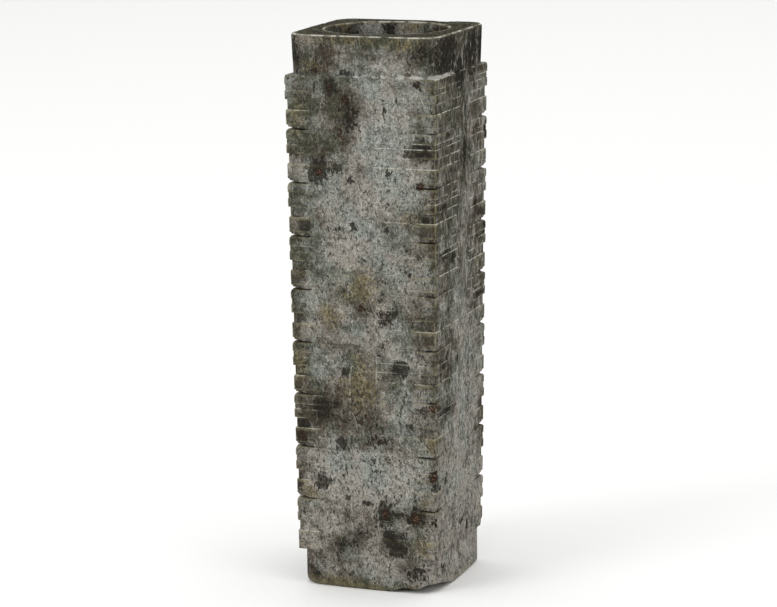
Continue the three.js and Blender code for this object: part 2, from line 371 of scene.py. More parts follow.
def sink_mask(at):
    """Sets how far each point reaches from the middle in x and in y, with the mask, the channel
    and the stone's unevenness sunk in."""
    across = np.clip(at.panel / np.maximum(at.panel + at.gap, LEAST_WIDTH), 0, 1)
    ground = GROUND_AT_CHANNEL + (GROUND_AT_CORNER - GROUND_AT_CHANNEL) * across
    relief = RELIEF_AT_CHANNEL + (1 - RELIEF_AT_CHANNEL) * across ** 1.5
    nose_rows = np.where(at.last, curve(LAST_NOSE_SHARE, at.drop), curve(NOSE_SHARE, at.drop))

    def mask_depth(ground_depth, nose):
        depth = curve(BAND_DEPTH, at.drop) * relief + curve(GROUND_SHARE, at.drop) * ground_depth
        return depth * (1 - nose) + (NOSE_DEPTH + curve(NOSE_LINE, at.drop)) * nose

    eye_share = smooth_step(EYE_RADIUS + EYE_SLOPE, EYE_RADIUS - EYE_SLOPE, at.from_eye)
    depth = mask_depth(ground, nose_rows * curve(NOSE_ACROSS, at.gap)) - EYE_RISE * eye_share
    depth = CHANNEL_DEPTH + (depth - CHANNEL_DEPTH) * at.in_panel
    at.rubbed = curve(RUBBED_AND_HIGHLIT_ROWS, at.drop) * at.in_panel
    ripples = zip(RIPPLE_DEPTHS, (at.coarse, at.medium, at.fine))
    depth += sum((amount * pattern for amount, pattern in ripples), SKIN)
    depth += NICK_DEPTH * at.rubbed * np.clip(at.medium + 0.6 * at.fine, 0, 1)
    depth = np.maximum(depth, 0)

    corner_depth = mask_depth(GROUND_AT_CORNER, nose_rows)
    draw_in = corner_depth * np.clip(1 - at.gap / DRAWN_IN, 0, 1) ** 2
    into_face = np.where(at.on_x & at.on_y, corner_depth, depth)
    at.reach_x = np.where(at.on_x, HALF - into_face, np.abs(at.x) - draw_in)
    at.reach_y = np.where(at.on_y, HALF - into_face, np.abs(at.y) - draw_in)


def round_corners(at):
    radius = by_corner(at, CORNER_RADIUS)
    radius += WORN_LOW_DOWN * at.front_right_corner * smooth_step(2, 8, at.tier)
    turn = np.radians(45) * np.clip(1 - at.gap / radius, 0, 1)
    inwards = radius * (1 - np.cos(turn))
    sidewards = np.where(at.gap < radius, radius - at.gap - radius * np.sin(turn), 0)
    at.reach_x -= np.where(at.on_x, inwards, sidewards)
    at.reach_y -= np.where(at.on_y, inwards, sidewards)


def saw_joints(at):
    """Saws into each joint across the corners and wears its lips. A cut across a corner is a
    limit on the sum of both reaches."""
    share, narrow, drop = np.array(NARROW_SAW_SHARE), at.front_right_corner, at.drop
    above = np.where(narrow, curve(NARROW_SAW_ABOVE, drop) * share[at.tier + 1],
                     curve(SAW_ABOVE, drop))
    below = np.where(narrow, curve(NARROW_SAW_BELOW, drop) * share[at.tier],
                     curve(SAW_BELOW, drop))
    cut = np.where(at.last, 0, above) + np.where(at.first, 0, below)
    lips_above = np.where(at.last, 0, curve(LIP_ABOVE, drop))
    lips = np.where(drop < MID_TIER, curve(LIP_BELOW, drop), lips_above)
    wear = by_corner(at, CORNER_WEAR) * (1 + 0.5 * at.medium)
    at.cut = np.maximum(cut * (1 + 0.05 * at.coarse), lips * wear)
    at.over = np.maximum(at.reach_x + at.reach_y - (2 * HALF - at.cut), 0)
    at.reach_x -= at.over / 2
    at.reach_y -= at.over / 2


def mark_carving(mesh, at):
    """Marks what is rubbed and painted with a highlight, chalky or painted with a highlight,
    painted with shade in the saw cuts, and streaky, and the distance from an eye.
    """
    corner_rub_and_highlight = CORNER_RUB_AND_HIGHLIGHT * np.clip(1 - at.gap / CORNER_RUB_AND_HIGHLIGHT_WIDTH, 0, 1)
    corner_rub_and_highlight *= 1 - at.front_right_corner * smooth_step(3, 7, at.tier)
    # Rubbed rows and corners are painted lighter: wear, and a painted highlight along the edges
    rubbed = at.rubbed * (0.25 + 0.75 * smooth_step(14, 5, at.gap))
    write_mark(mesh, "rubbed", np.clip(np.maximum(rubbed, corner_rub_and_highlight), 0, 1))

    # A painted highlight along the channels' edges
    edge_highlight = np.where(at.tier > 2, EDGE_LINE_LOW, EDGE_LINE_HIGH)
    edge_highlight = np.where(at.on_x, EDGE_LINE_SIDES, edge_highlight)
    edge_highlight *= np.clip(1 - np.abs(at.panel) / EDGE_LINE_WIDTH, 0, 1)
    chalk_and_highlight = curve(CHALKY_ROWS, at.drop) * at.in_panel * chalk_on_panels(at)
    write_mark(mesh, "chalk_and_highlight", np.maximum(chalk_and_highlight, edge_highlight))

    # Painted shade: darker inside the saw cuts and along the joints on the faces
    in_cut = np.clip(at.cut / 4, 0, 1) * (at.over > 0)
    nearest_joint = np.where(at.drop > MID_TIER, at.tier, at.tier - 1)
    joint = np.array(JOINT_SHADE)[nearest_joint] * smooth_step(22, 5, at.gap)
    front_right_panel = ~at.on_x & (at.y < 0) & (at.x > at.shift)
    joint = np.where(front_right_panel, joint, JOINT_SHADE_ELSEWHERE)
    joint *= at.in_panel * curve(JOINT_ROWS, at.drop)
    painted_cut_shade = np.maximum(curve(CUT_SHADE_ROWS, at.drop) * in_cut, joint)
    write_mark(mesh, "painted_cut_shade", np.where(at.first & (at.drop < MID_TIER), 0, painted_cut_shade))

    write_mark(mesh, "eye", np.where(at.panel > 0, np.minimum(at.from_eye, NO_EYE), NO_EYE))
    write_mark(mesh, "streaky", at.on_x * np.where(at.x > 0, 1, STREAKY_LEFT))


def chalk_on_panels(at):
    """How much pale residue each panel of each tier keeps in its lines."""
    front, right = ~at.on_x & (at.y < 0), at.on_x & (at.x > 0)
    panels = {"front left": front & (at.x < at.shift), "front right": front & (at.x > at.shift),
              "right left": right & (at.y < at.shift), "right right": right & (at.y > at.shift)}
    amount = np.full(len(at.x), CHALK_ELSEWHERE)
    for name, chosen in panels.items():
        amount = np.where(chosen, np.array(CHALK[name])[at.tier], amount)
    return np.where(panels["front left"], amount * smooth_step(18, 8, at.gap), amount)


def carve(stone):
    """Carves the stacked block, wears its edges, tapers it and lets its joints sag."""
    points = read_points(stone.data)
    at = measure(points)
    sink_mask(at)
    round_corners(at)
    saw_joints(at)
    taper = half_width(at.z) / HALF
    points[:, 0] = at.side_x * at.reach_x * taper
    points[:, 1] = at.side_y * at.reach_y * taper
    towards_corner = np.where(at.on_x, (at.x > 0) * (HALF - at.y), (at.y < 0) * (HALF + at.x))
    sag = curve(JOINT_SAG, (BLOCK_HEAD - at.z) / TIER)
    points[:, 2] -= sag * (towards_corner / (2 * HALF))
    write_points(stone.data, points)
    mark_carving(stone.data, at)


def corner_at(angle, radii):
    """The corner radius of a collar in the quarter that holds the angle."""
    return np.array(radii)[np.floor(np.asarray(angle) / (math.pi / 2)).astype(int)]


def base_outline(angle, inset):
    """Distance from the axis to the base collar, drawn in by an inset."""
    reach = BASE_COLLAR_HALF + BASE_LEAN * np.maximum(np.cos(angle), 0) ** 2
    return collar_reach(angle, reach - inset, corner_at(angle, BASE_COLLAR_CORNERS) - inset)


def foot_level(angle, away, level):
    """A level near the foot, raised where the foot's edge is broken off."""
    edge = float(curve(FOOT_BREAK, math.degrees(angle)))
    coarse = noise.noise(Vector((9 * angle, 0, 3)))
    fine = noise.noise(Vector((30 * angle, 2, 0)))
    edge *= 1 + 0.12 * coarse + 0.1 * fine
    inset = float(base_outline(angle, 0)) - away
    return max(level, edge - BREAK_SLOPE * inset) if edge > 0 else level


def collar_reach(angle, reach, corner):
    """Distance from the axis to a collar's outline: bulged sides and round corners."""
    fold = np.abs((angle + math.pi / 4) % (math.pi / 2) - math.pi / 4)
    straight = reach - corner
    run = (reach - COLLAR_BULGE) * np.tan(fold) / straight
    side = (reach - COLLAR_BULGE * np.minimum(run, 1) ** 2) / np.cos(fold)
    middle = straight * (np.cos(fold) + np.sin(fold))
    inside = middle ** 2 - 2 * straight ** 2 + (corner - COLLAR_BULGE) ** 2
    return np.where(run < 1, side, middle + np.sqrt(np.maximum(inside, 0)))


def rings_of_ends():
    """The rings that close the block, in order: up the top collar, over the rim, down the bore,
    across the underside and up the base collar. Each is a level, a rule from angle to distance
    and the depth of its wear."""
    rings = []

    def top_collar(level, inset, wear):
        reach = TOP_COLLAR_HALF + COLLAR_FLARE * (level - BLOCK_HEAD) / (TOTAL - BLOCK_HEAD) - inset
        rings.append((level, lambda angle: collar_reach(
            angle, reach, corner_at(angle, TOP_COLLAR_CORNERS)), wear))

    def rim(angle):
        reach = TOP_COLLAR_HALF + COLLAR_FLARE - RIM_INSET
        return collar_reach(angle, reach, corner_at(angle, TOP_COLLAR_CORNERS))

    def flat(level, share, outer, inner):
        rings.append((level, lambda angle: outer(angle) * (1 - share) + inner * share, 0.0))

    def circle(level, radius):
        rings.append((level, lambda angle: radius, BORE_WEAR))

    def worn_round(angle):
        return float(curve(FOOT_WEAR, math.degrees(angle)))

    def foot(angle):
        return base_outline(angle, worn_round(angle))

    def foot_edge(turn):
        drop, draw = 1 - math.cos(math.radians(turn)), 1 - math.sin(math.radians(turn))
        rings.append((lambda angle: drop * worn_round(angle),
                      lambda angle: base_outline(angle, draw * worn_round(angle)),
                      FOOT_EDGE_WEAR))

    def base_collar(level):
        rings.append((level, lambda angle: base_outline(angle, 0), COLLAR_WEAR))

    for level in TOP_COLLAR_LEVELS:
        top_collar(BLOCK_HEAD + level, 0, COLLAR_WEAR if level else JOINED_WEAR)
    for below, inset, wear in TOP_EDGE:
        top_collar(TOTAL - below, inset, wear)
    for share in RIM_SHARES:
        flat(TOTAL, share, rim, RIM_INNER)
    for below, radius in BORE:
        circle(TOTAL - below, radius)
    for share in FOOT_SHARES:
        flat(0, share, foot, FOOT_INNER)
    for turn in FOOT_TURNS:
        foot_edge(turn)
    for level in BASE_COLLAR_LEVELS:
        base_collar(level)
    return rings


def angle_of(place):
    return math.atan2(place.y, place.x)


def top_loop(stone):
    """A copy of the block's open top edge as an object of its own, the only one selected."""
    bpy.ops.object.mode_set(mode="EDIT")
    bpy.ops.mesh.select_mode(type="EDGE")
    select_edges(stone, lambda place: place.z > (BLOCK_HEAD - NEAR) * MM)
    bpy.ops.mesh.duplicate()
    bpy.ops.mesh.separate(type="SELECTED")
    bpy.ops.object.mode_set(mode="OBJECT")
    ends = next(o for o in bpy.context.selected_objects if o != stone)
    bpy.ops.object.select_all(action="DESELECT")
    ends.select_set(True)
    bpy.context.view_layer.objects.active = ends
    return ends


def draw_ring(ends, level, outline, wear):
    """In edit mode, extrudes the selected loop to a ring with its wear and the foot's break."""
    bpy.ops.mesh.extrude_region()
    shape = bmesh.from_edit_mesh(ends.data)
    for point in [vert for vert in shape.verts if vert.select]:
        angle = angle_of(point.co)
        away = float(outline(angle))
        height = level(angle) if callable(level) else level
        place = Vector((away * math.cos(angle), away * math.sin(angle), height))
        rough = 0.4 + 0.5 * noise.noise(place / 6) + 0.5 * noise.noise(place / 1.8)
        away -= wear * max(rough, 0)
        height = foot_level(angle, away, height)
        point.co = Vector((away * math.cos(angle), away * math.sin(angle), height)) * MM
    bmesh.update_edit_mesh(ends.data)


def end_on(ends, loop):
    """In edit mode, extrudes the selected loop on to the places of another one."""
    bpy.ops.mesh.extrude_region()
    shape = bmesh.from_edit_mesh(ends.data)
    last_ring = sorted((vert for vert in shape.verts if vert.select),
                       key=lambda vert: angle_of(vert.co))
    for point, place in zip(last_ring, loop, strict=True):
        point.co = place
    bmesh.update_edit_mesh(ends.data)


def add_ends(stone):
    """Draws the block's top loop out through the rings and on to the block's foot, and merges
    it all into one closed mesh."""
    lowest = (BLOCK_FOOT + NEAR) * MM
    foot = sorted((point.co.copy() for point in stone.data.vertices if point.co.z < lowest),
                  key=angle_of)
    ends = top_loop(stone)
    bpy.ops.object.mode_set(mode="EDIT")
    bpy.ops.mesh.select_all(action="SELECT")
    for level, outline, wear in rings_of_ends():
        draw_ring(ends, level, outline, wear)
    end_on(ends, foot)
    bpy.ops.object.mode_set(mode="OBJECT")
    mark_ends(ends)
    stone.select_set(True)
    bpy.context.view_layer.objects.active = stone
    bpy.ops.object.join()
    bpy.ops.object.mode_set(mode="EDIT")
    bpy.ops.mesh.select_all(action="SELECT")
    bpy.ops.mesh.remove_doubles(threshold=MERGED)
    bpy.ops.mesh.select_all(action="SELECT")
    bpy.ops.mesh.normals_make_consistent(inside=False)
    bpy.ops.object.mode_set(mode="OBJECT")


def mark_ends(ends):
    """Marks the rims and foot of the collars as rubbed, partly a painted highlight, and the painted
    highlight along the rims' edges and the ledge.
    """
    points = read_points(ends.data)
    x, y, z = points.T
    away = np.hypot(x, y)
    share = collar_share(points)
    at_top = smooth_step(1.2, 0.1, TOTAL - z)
    outer_rim = at_top * smooth_step(33.0, 34.2, share)
    inner_rim = at_top * smooth_step(28.2, 27.8, away)
    foot = smooth_step(4.5, 1.0, z) * (z > 0.05) * (away > 27.5)
    # Painted highlight along the rim's rounded outer edge, and on the ledge below the collar
    rim_highlight = np.clip(1 - np.abs(TOTAL - 0.25 - z) / 0.4, 0, 1) * (share > 33.5)
    on_ledge = np.clip(1 - np.abs(z - BLOCK_HEAD) / 1.2, 0, 1)
    ledge_highlight = on_ledge * np.where(y < -10, curve(LEDGE_HIGHLIGHT, x), LEDGE_HIGHLIGHT_ELSEWHERE)
    write_mark(ends.data, "rubbed", np.maximum.reduce(
        [OUTER_RIM_RUB_AND_HIGHLIGHT * outer_rim, INNER_RIM_RUB_AND_HIGHLIGHT * inner_rim, FOOT_RUB * foot]))
    write_mark(ends.data, "chalk_and_highlight", np.maximum.reduce(
        [OUTER_RIM_HIGHLIGHT * rim_highlight, INNER_RIM_HIGHLIGHT * inner_rim, ledge_highlight]))
    write_mark(ends.data, "painted_cut_shade", np.zeros(len(z)))
    write_mark(ends.data, "eye", np.full(len(z), NO_EYE))
    on_side = smooth_step(-4, 4, np.abs(x) - np.abs(y)) * (share > 30) * (z < TOTAL - 0.5)
    streaky = np.where(x < 0, STREAKY_LEFT, np.where(z > BLOCK_HEAD, STREAKY_COLLAR, 1))
    write_mark(ends.data, "streaky", on_side * streaky)


def collar_share(points):
    """How far out each point is, as the half-width of the square-sided ring through it."""
    angle = np.arctan2(points[:, 1], points[:, 0])
    away = np.hypot(points[:, 0], points[:, 1])
    return away / collar_reach(angle, HALF, corner_at(angle, TOP_COLLAR_CORNERS)) * HALF


# Old losses: centre, half-sizes, turn about Z and about X in radians, and the way in
CHIPS = (
    ((0.42 * HALF, HALF, TOTAL + 0.43), (6, 2.6, 1.6), -0.06, 0.15, (0, -0.6, -0.8)),
    ((-HALF, 0.35 * HALF, TOTAL + 0.33), (1.6, 2.4, 1.4), 0.1, 0.2, (0.7, 0, -0.7)),
    ((33.85, 33.85, BLOCK_FOOT - 0.63), (6, 4, 4.5), -0.75, 0.1, (-0.6, -0.6, 0.5)),
)


def break_off_chips(stone):
    """Pushes the surface back out of each loss."""
    points = read_points(stone.data)
    fresh = np.zeros(len(points))
    for centre, half_sizes, turn_z, turn_x, way_in in CHIPS:
        turned = np.array(Matrix.Rotation(turn_z, 3, "Z") @ Matrix.Rotation(turn_x, 3, "X"))
        near = np.linalg.norm(points - np.array(centre), axis=1) < 1.3 * max(half_sizes)
        found = np.nonzero(near)[0]
        rough = 1 + 0.1 * ripple(points[found], 3.0, 5) + 0.05 * ripple(points[found], 1.2, 9)
        size = np.array(half_sizes) * rough[:, None]
        start = (points[found] - np.array(centre)) @ turned / size
        step = (np.array(way_in) @ turned) / size
        a = (step ** 2).sum(1)
        b = 2 * (start * step).sum(1)
        c = (start ** 2).sum(1) - 1
        inside = c < 0
        root = np.sqrt(np.maximum(b * b - 4 * a * c, 0))
        push = np.where(inside, (-b + root) / (2 * a), 0)
        points[found] += push[:, None] * np.array(way_in)
        fresh[found[inside]] = 1
    write_points(stone.data, points)
    return fresh


# Stains where the stone shows, with painted shade in a few dark spots and painted highlight in one
# pale one, as noted: place across a face, level from the block's head, half-width, half-height and
# strength
DARK = {
    "front": (
        (-13.9, -4.5, 3.2, 3.6, 1), (-7.2, -9.5, 1.6, 1.6, 0.8), (-5.0, -17, 3.6, 5.5, 0.75),
        (-20.7, -5.5, 0.6, 2.4, 0.8), (26.1, -2.6, 2.2, 1.8, 0.85), (17.4, -9.5, 0.5, 2.2, 0.8),
        (10.7, -13.5, 0.4, 4.8, 0.75), (28.6, -31, 4.4, 3.6, 1.1), (22.5, -32.5, 2.4, 2, 0.8),
        (-5.7, -23, 1.7, 2.2, 0.8), (-19.5, -41.4, 4.2, 4.6, 1.15), (-11.6, -39.7, 2.4, 2.6, 0.95),
        (27.4, -46.6, 2, 1.5, 0.9), (12.4, -41, 1.2, 1.7, 0.8), (15.5, -43.5, 0.7, 1.9, 0.8),
        (-4.5, -45.2, 1.4, 1.4, 0.8), (-26.4, -66, 2.5, 2.7, 1.05), (-11.4, -66.6, 1.4, 1.8, 0.6),
        (-4.2, -65.6, 0.8, 2.2, 0.9), (29, -61, 2, 1.9, 0.85), (11.7, -56, 2, 1.8, 0.75),
        (11.7, -66.6, 1.9, 2.4, 0.7), (2.7, -50, 1, 1, 0.75), (20.5, -86, 2, 1.8, 0.75),
        (-27.6, -101.6, 1.5, 1.3, 0.8), (15, -102, 2.4, 2.4, 0.8), (11, -106, 4, 3.2, 0.7),
        (16.7, -127.3, 3.3, 2.8, 1.15), (-8.5, -129.8, 2, 2.3, 0.8), (-20, -147.3, 3.4, 4.2, 1.15),
        (-13.2, -144.8, 2, 1.8, 0.85), (27.4, -145.6, 4.2, 1.9, 0.8), (6, -160, 6, 5, 0.5),
        (-29.7, -158.5, 2.8, 5.2, 1.05), (-10.5, -162.3, 2.5, 2.6, 0.85),
        (21.7, -153, 1.9, 1.7, 0.8), (-20.7, -180.4, 3.4, 3.2, 1.1), (4.9, -174, 2.6, 0.9, 0.85),
        (31.8, -174.8, 2.1, 2.8, 1.05),
        (-8.2, -187, 1, 1.5, 0.85), (-8.3, -193, 1.1, 0.9, 0.85), (0.5, -189, 2.6, 1.2, 0.9),
        (8.9, -192.9, 3.3, 4.4, 1.15), (23.6, -194, 3.5, 3.7, 1.1), (15.5, -193.5, 1.9, 1.8, 0.85),
        (11.5, -204.5, 3, 3.3, 1.2), (15.3, -209.6, 3.5, 2.5, 1.15), (16.7, -204.1, 3, 2.6, 0.72),
        (-10.7, -208, 5, 3.4, 0.62), (-2, -203.5, 4, 3, 0.52), (-31.5, -183, 1.5, 4, 0.8),
        (-24, -224.8, 2.6, 2.4, 0.85), (24, -220, 4.5, 4, 0.75), (-21.4, 2.4, 2.2, 1.6, 0.85),
        # The spot at -32.5 across and 9 up is painted shade along the top collar's left edge, where
        # the corner turns away
        (-6, 1.2, 3, 1.4, 0.75), (22, -228.5, 9, 1.6, 0.8), (-32.5, 9, 1.8, 9, 0.85),
        (30, 11, 5, 5, 0.7),
    ),
    # Painted shade on the top collar's rounded left corner, where it turns away from the light
    "shaded left corner": ((0, 9, 4.5, 10, 0.8),),
    "bore": ((-8, 13, 2.6, 6, 0.95), (10, 12, 4, 3, 0.8), (-23, 13, 4, 4, 0.7)),
    "right": (
        (-2.9, -1.5, 4.5, 4.5, 1.5), (-3.5, 2.5, 4, 3, 1.2), (-20, 9, 10, 9, 0.95),
        (14, 8, 9, 9, 0.85), (29, 9, 6, 9, 0.95), (-33.4, -34, 1.3, 9, 0.75),
        (-33.6, -60, 1.2, 12, 0.7), (-33.4, -12, 1.2, 7, 0.7), (5, -17, 1.5, 4, 0.8),
        (4.6, -35.5, 2.6, 9, 0.85), (32, -30, 2, 4, 0.9), (-14.7, -42, 2.6, 1.8, 0.75),
        (-18.9, -25.4, 3, 1.2, 0.7), (19, -60.5, 2.6, 4, 0.8), (26, -66, 3.5, 1.5, 0.8),
        (-24, -57, 6, 3, 0.7),
        (-22, -77.5, 7, 2.6, 0.75), (-12, -81, 3, 1.9, 1), (31.5, -72, 2.3, 4, 0.85),
        (24, -103.5, 7, 1.8, 0.75), (-23.5, -126.6, 2, 1.7, 0.85), (-4.7, -127.5, 1.5, 3, 0.8),
        (-21, -147, 8, 2.6, 0.75), (-30, -179.8, 3.8, 2.4, 0.8), (-18.5, -178.5, 1.9, 2.8, 0.75),
        (2.1, -203.5, 2, 1.8, 0.8), (10, -208, 1, 3, 0.75), (-33.5, -196, 2, 3, 0.8),
        (-21, -218.5, 3, 1.6, 0.7), (13, 6, 4, 6, 0.6), (-20, 6, 6, 6, 0.6),
    ),
}
RUST = {
    "front": (
        (-7.0, -9.6, 1.1, 1.3, 1), (26.2, -3.2, 1, 1.2, 0.8), (29.5, -31, 1, 1, 0.9),
        (-19.3, -42, 1.4, 1.6, 1), (27.2, -46.5, 1.9, 1.3, 1), (-13.7, -4.2, 1.8, 2, 0.7),
        (31, -143.8, 2.2, 1.5, 0.9), (-1, -151.6, 6, 3.4, 0.58), (5.5, -160, 5, 4, 0.52),
        (-29.4, -160.5, 1.6, 2.2, 1), (31.8, -174.8, 1.7, 2.1, 1), (9.2, -193.5, 1.2, 2, 1),
        (23.6, -194.4, 2.2, 2.4, 1), (-21.4, 2.6, 1.6, 1.2, 0.9), (0, -101, 5, 2, 0.7),
        (24.5, -146.5, 2, 1, 0.7), (-9.5, -23.5, 1.6, 2.2, 0.7),
    ),
    "bore": ((14.5, 14, 2, 2.4, 0.8),),
    "right": (
        (-33.5, -144, 3, 1.8, 0.9), (-34, -174, 2.4, 2, 1), (2.1, -203.5, 1.3, 1.2, 0.8),
        (-32.5, -196, 1.5, 2.5, 0.7), (20, -62, 2, 3, 0.6),
    ),
}
OCHRE = {
    "front": (
        (-0.8, -92.5, 6.6, 7, 1), (-15.7, -105, 4.4, 4.4, 0.85), (-0.5, -136, 7, 11, 0.8),
        (31, -161, 2.5, 2.5, 0.9), (-26.5, -186, 3.4, 3, 0.9), (28, -187.5, 4, 3, 0.7),
        (26, -207, 4, 4, 0.7), (-14, -226, 14, 2.6, 0.65), (20, -60, 5, 5, 0.5),
        (-30, -128, 3.5, 6, 0.6), (0, 15.6, 24, 1.5, 0.5), (22, 15, 9, 2.2, 0.65),
        (-24, 4, 5, 3, 0.6), (-30, -20, 3, 8, 0.5),
    ),
    "bore": ((3, 15, 5, 3, 0.7), (-24, 15.5, 4, 3, 0.8)),
    "right": (
        (-24, -4, 9, 3, 0.5), (-30, -160, 5, 4, 0.7), (29, -38, 3, 6, 0.5), (24, -88, 5, 5, 0.5),
    ),
}
SHADE = {
    "front": (
        (-27, -8, 9, 10, 0.7), (-27, -30, 9, 8, 0.95), (-8, -16, 8, 12, 0.95),
        (-30, -60, 6, 12, 0.75), (-33, -110, 4, 90, 0.6), (30, -28, 7, 9, 0.75),
        (-23, 9, 12, 11, 1.15), (26, 11, 10, 8, 0.8), (0, 16, 34, 4.5, 0.85),
        (-3, -140, 12, 14, 0.55), (-25, -150, 8, 12, 0.6), (-2, -228, 30, 2.5, 0.7),
        (18, -205, 12, 10, 0.6), (-12, -208, 9, 6, 0.6), (27, -110, 7, 8, 0.5),
    ),
    "right": (
        (0, 9, 40, 12, 1.05), (-20, -12, 16, 14, 0.8), (-22, -35, 14, 11, 0.8),
        (-22, -60, 14, 12, 0.8), (-20, -82, 14, 9, 0.7), (5, -25, 6, 26, 0.6),
        (24, -30, 12, 20, 0.5), (24, -72, 12, 14, 0.55), (24, -103, 11, 10, 0.7),
        (-20, -127, 14, 8, 0.6), (-18, -148, 14, 7, 0.65),
        (-34, -40, 4, 70, 0.9), (-34, -130, 3, 40, 0.7), (4, 12, 40, 14, 1.1), (0, 8, 34, 8, 1.2),
    ),
}
PALE = {
    "front": (
        (15, -14, 15, 14, 1.4), (2, -2, 10, 8, 0.35), (12, -40, 16, 14, 1.1),
        (0, -62, 13, 18, 1), (20, -75, 12, 14, 0.7),
        (-16, -6, 6, 3, 0.6), (-20, -110, 12, 10, 0.5), (16, -120, 12, 8, 0.5),
        (-18, -175, 14, 12, 1.1), (10, -178, 16, 10, 1.1), (-20, -202, 12, 6, 0.9),
        # The pale patch at 9 across and 5 up, low on the top collar, is painted highlight above the
        # ledge
        (9, 5, 12, 7, 1), (4, -220, 26, 8, 0.45), (-14, -128, 8, 5, 0.6), (18, -52, 10, 8, 0.7),
    ),
    "bore": ((-14.5, 14, 6, 8, 1.2), (4, 8, 10, 8, 0.8)),
    "right": (
        (15, -115, 18, 12, 0.8), (5, -158, 26, 20, 1.2), (5, -190, 28, 20, 1.3),
        (8, -222, 28, 11, 1.1), (8, -5, 3, 14, 0.6), (8, -60, 5, 8, 0.5),
    ),
}
SHOWN = {"dark": DARK, "rust": RUST, "ochre": OCHRE, "shade": SHADE, "pale": PALE}
# Those of the two hidden faces: how many, the seed, and the smallest and largest half-width
HIDDEN = {
    "dark": (44, 3, 1.2, 3.6), "rust": (12, 5, 1, 2.4), "ochre": (9, 8, 3, 7),
    "shade": (13, 13, 7, 14), "pale": (12, 21, 8, 16),
}
# The bore's radius near its top, the radius that parts it from the rim, and their least shade and
# darkness; on the rim's top these are painted shade
BORE_AT_TOP = 27.3
INSIDE_BORE = 27.6
BORE_SHADE = 0.15
RIM_SHADE = 1.15
RIM_DARK = 0.3
CHIP_RUB = 0.3


def on_face(face, across, level):
    """The point of the stone at a place across a face and a level from the block's head."""
    height = BLOCK_HEAD + level
    out = half_width(min(max(height, BLOCK_FOOT), BLOCK_HEAD))
    deep = math.sqrt(BORE_AT_TOP ** 2 - min(abs(across), BORE_AT_TOP) ** 2)
    return {"front": (across, -out, height), "right": (out, across, height),
            "back": (-across, out, height), "left": (-out, -across, height),
            "shaded left corner": (across - out + 2.5, 2.5 - out, height),
            "bore": (across, deep, height)}[face]


def strewn(count, seed, smallest, largest):
    """Stains for the two faces that don't show, strewn like the ones that do."""
    draw = random.Random(seed)
    found = {}
    for face in ("back", "left"):
        spots = []
        for _ in range(count):
            size = draw.uniform(smallest, largest)
            spots.append((draw.uniform(-32, 32), draw.uniform(-226, 12), size,
                          size * draw.uniform(0.7, 1.4), draw.uniform(0.7, 1)))
        found[face] = spots
    return found


def stain_field(points, spots_by_face):
    """For each point, 1 in the middle of a stain, a half at its edge and 0 well outside."""
    field = np.zeros(len(points))
    for face, spots in spots_by_face.items():
        for across, level, wide, high, strength in spots:
            deep = max(2.0, 0.8 * wide)
            sizes = (deep, wide, high) if face in ("right", "left") else (wide, deep, high)
            offset = (points - np.array(on_face(face, across, level))) / np.array(sizes)
            field = np.maximum(field, strength * (1 - 0.5 * np.linalg.norm(offset, axis=1)))
    return np.clip(field, 0, 1)


def mark_stains(stone, fresh):
    """Marks each kind of stain, the bore's shade, the rim's painted shade, and the faces of the
    chips.
    """
    points = read_points(stone.data)
    on_rim = smooth_step(TOTAL - 0.6, TOTAL - 0.1, points[:, 2])
    in_bore = np.hypot(points[:, 0], points[:, 1]) < INSIDE_BORE
    # Painted shade on the rim's top, and the bore's least shade
    least = {"dark": RIM_DARK * on_rim,
             "shade": np.maximum(BORE_SHADE * in_bore, RIM_SHADE * on_rim)}
    for name, spots in SHOWN.items():
        field = stain_field(points, {**spots, **strewn(*HIDDEN[name])})
        write_mark(stone.data, name, np.maximum(field, least.get(name, 0)))
    rubbed = np.zeros(len(points), np.float32)
    stone.data.attributes["rubbed"].data.foreach_get("value", rubbed)
    write_mark(stone.data, "rubbed", np.maximum(rubbed * (1 - fresh), CHIP_RUB * fresh))


def feed(tree, socket, value):
    """Sets a socket's value, or links it where the value is another node's output."""
    if isinstance(value, bpy.types.NodeSocket):
        tree.links.new(value, socket)
    else:
        socket.default_value = value


def put(tree, kind, inputs, **settings):
    """Adds a node with its settings, and its inputs by socket name or number."""
    node = tree.nodes.new(kind)
    for name, value in settings.items():
        setattr(node, name, value)
    for name, value in inputs.items():
        feed(tree, node.inputs[name], value)
    return node


